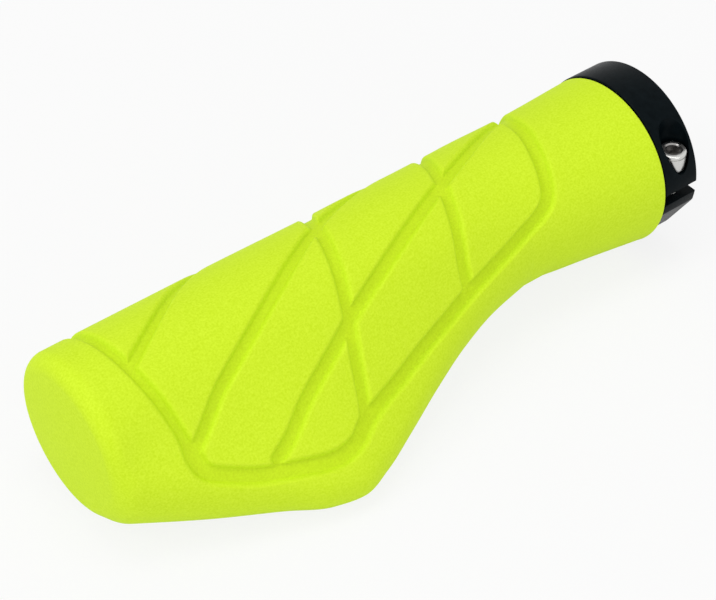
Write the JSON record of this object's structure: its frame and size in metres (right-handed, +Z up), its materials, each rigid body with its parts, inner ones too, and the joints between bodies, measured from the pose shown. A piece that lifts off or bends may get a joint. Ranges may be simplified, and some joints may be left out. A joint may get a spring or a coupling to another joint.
{
  "type": "handlebar grip",
  "caption": "Moulded rubber handlebar grip with a drooping palm wing, a grooved lattice, a closed outboard end and a split clamp collar.",
  "frame": {"origin": "centre of the bore's mouth, on the inboard face of the clamp collar", "axes": "+X along the bar axis, out of the bore's mouth; -Y towards the palm wing; +Z up"},
  "size_m": [0.1364, 0.0496, 0.0353],
  "materials": {
    "lime_rubber": "matte moulded rubber with a very fine grain",
    "black_nylon": "matte moulded",
    "black_anodised": "satin black anodised",
    "bright_steel": "bright plated"
  },
  "bodies": {
    "root": {"grip_rubber": "lime_rubber", "core_sleeve": "black_nylon", "clamp_collar": "black_anodised", "clamp_screw": "bright_steel"}
  },
  "joints": []
}
